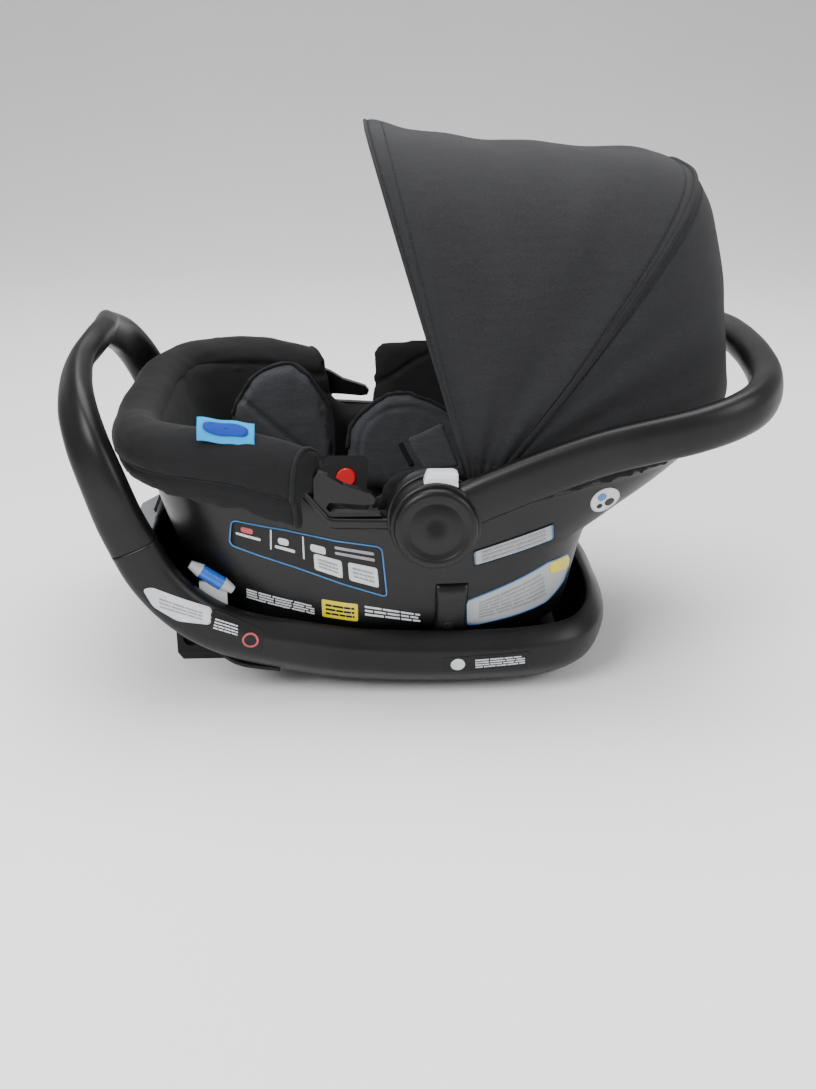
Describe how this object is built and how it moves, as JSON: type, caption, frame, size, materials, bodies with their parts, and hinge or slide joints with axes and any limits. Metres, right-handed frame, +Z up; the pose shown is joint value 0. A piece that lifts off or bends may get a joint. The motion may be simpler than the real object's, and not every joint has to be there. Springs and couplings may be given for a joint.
{
  "type": "infant car seat",
  "caption": "Rear-facing infant carrier with canopy and swinging carry handle, latched in a vehicle base with an anti-rebound loop and recline foot.",
  "frame": {"origin": "centre of the footprint, on the surface the base stands on", "axes": "+X towards the head end, +Y across to the far side, +Z up"},
  "size_m": [0.6953, 0.4418, 0.5344],
  "materials": {
    "shell_plastic": "satin",
    "base_plastic": "satin",
    "handle_plastic": "satin",
    "grey_plastic": "satin",
    "dark_grey_plastic": "satin",
    "red_plastic": "gloss",
    "cover_fabric": "woven",
    "insert_fabric": "knit",
    "canopy_cloth": "woven",
    "webbing": "woven",
    "tag_fabric": "woven",
    "foam": "matte",
    "steel": "brushed",
    "label": "satin",
    "window": "clear"
  },
  "bodies": {
    "base": {"base_shell": "base_plastic", "base_pan": "base_plastic", "rebound_bar": "base_plastic", "bar_tenons": "steel", "bar_lock": "dark_grey_plastic", "cradle_hooks": "base_plastic", "level_housing": "grey_plastic", "level_lens": "window", "level_ball": "dark_grey_plastic", "foot_rails": "steel", "base_screws": "steel", "base_labels": "label"},
    "recline_foot": {"recline_foot": "base_plastic"},
    "recline_lever": {"recline_lever": "dark_grey_plastic"},
    "carrier": {"shell": "shell_plastic", "foam_liner": "foam", "seat_pad": "cover_fabric", "seat_insert": "insert_fabric", "body_insert": "insert_fabric", "seat_tag": "tag_fabric", "latch_bars": "steel", "belt_guide_near": "shell_plastic", "belt_guide_far": "shell_plastic", "pivot_pin_near": "steel", "pivot_pin_far": "steel", "harness_straps": "webbing", "crotch_strap": "webbing", "chest_clip": "shell_plastic", "buckle_tongues": "steel", "buckle_housing": "shell_plastic", "splitter_plate": "steel", "adjuster_housing": "shell_plastic", "shell_labels": "label", "canopy_socket_near": "shell_plastic", "canopy_socket_far": "shell_plastic", "canopy_rear_bow": "shell_plastic", "canopy_fabric": "canopy_cloth"},
    "buckle_button": {"buckle_button": "red_plastic"},
    "adjuster_button": {"adjuster_button": "dark_grey_plastic"},
    "release": {"release_handle": "shell_plastic", "latch_links": "steel"},
    "canopy_front": {"canopy_front_bow": "shell_plastic"},
    "handle": {"handle_tube": "handle_plastic", "hub_cap_near": "handle_plastic", "hub_cap_far": "handle_plastic", "button_spring_near": "steel", "button_spring_far": "steel"},
    "handle_button_near": {"handle_button_near": "grey_plastic"},
    "handle_button_far": {"handle_button_far": "grey_plastic"},
    "lock_disc_near": {"lock_disc_near": "steel"},
    "lock_disc_far": {"lock_disc_far": "steel"}
  },
  "joints": [
    {"name": "carrier_lift", "type": "slide", "parent": "base", "child": "carrier", "axis": [0, 0, 1], "range_m": [0, 0.12]},
    {"name": "handle_turn", "type": "hinge", "parent": "carrier", "child": "handle", "pos_m": [0, 0, 0.202], "axis": [0, -1, 0], "range_deg": [0, 105], "deforming": ["canopy_fabric", "canopy_rear_bow"]},
    {"name": "handle_button_near_press", "type": "slide", "parent": "handle", "child": "handle_button_near", "axis": [0, 0, -1], "range_m": [0, 0.004], "stiffness_N_per_m": 600, "deforming": ["button_spring_near"]},
    {"name": "handle_button_far_press", "type": "slide", "parent": "handle", "child": "handle_button_far", "axis": [0, 0, -1], "range_m": [0, 0.004], "stiffness_N_per_m": 600, "deforming": ["button_spring_far"]},
    {"name": "lock_disc_near_slide", "type": "slide", "parent": "handle", "child": "lock_disc_near", "axis": [0, -1, 0], "range_m": [0, 0.004], "stiffness_N_per_m": 400},
    {"name": "lock_disc_far_slide", "type": "slide", "parent": "handle", "child": "lock_disc_far", "axis": [0, 1, 0], "range_m": [0, 0.004], "stiffness_N_per_m": 400},
    {"name": "canopy_fold", "type": "hinge", "parent": "carrier", "child": "canopy_front", "pos_m": [0.04, 0, 0.214], "axis": [0, 1, 0], "range_deg": [0, 45], "deforming": ["canopy_fabric"]},
    {"name": "buckle_press", "type": "slide", "parent": "carrier", "child": "buckle_button", "axis": [0, 0.9397, -0.342], "range_m": [0, 0.004], "stiffness_N_per_m": 800},
    {"name": "adjuster_press", "type": "slide", "parent": "carrier", "child": "adjuster_button", "axis": [0, 0, -1], "range_m": [0, 0.003], "stiffness_N_per_m": 800},
    {"name": "release_pull", "type": "slide", "parent": "carrier", "child": "release", "axis": [0, 0, 1], "range_m": [0, 0.004], "stiffness_N_per_m": 500},
    {"name": "foot_extend", "type": "slide", "parent": "base", "child": "recline_foot", "axis": [0, 0, -1], "range_m": [0, 0.024]},
    {"name": "lever_pull", "type": "slide", "parent": "base", "child": "recline_lever", "axis": [-0.8829, 0, -0.4695], "range_m": [0, 0.008], "stiffness_N_per_m": 400}
  ],
  "couplings": [
    {"joint": "handle_button_far_press", "follows": "handle_button_near_press", "ratio": 1},
    {"joint": "lock_disc_near_slide", "follows": "handle_button_near_press", "ratio": 1},
    {"joint": "lock_disc_far_slide", "follows": "handle_button_near_press", "ratio": 1}
  ]
}
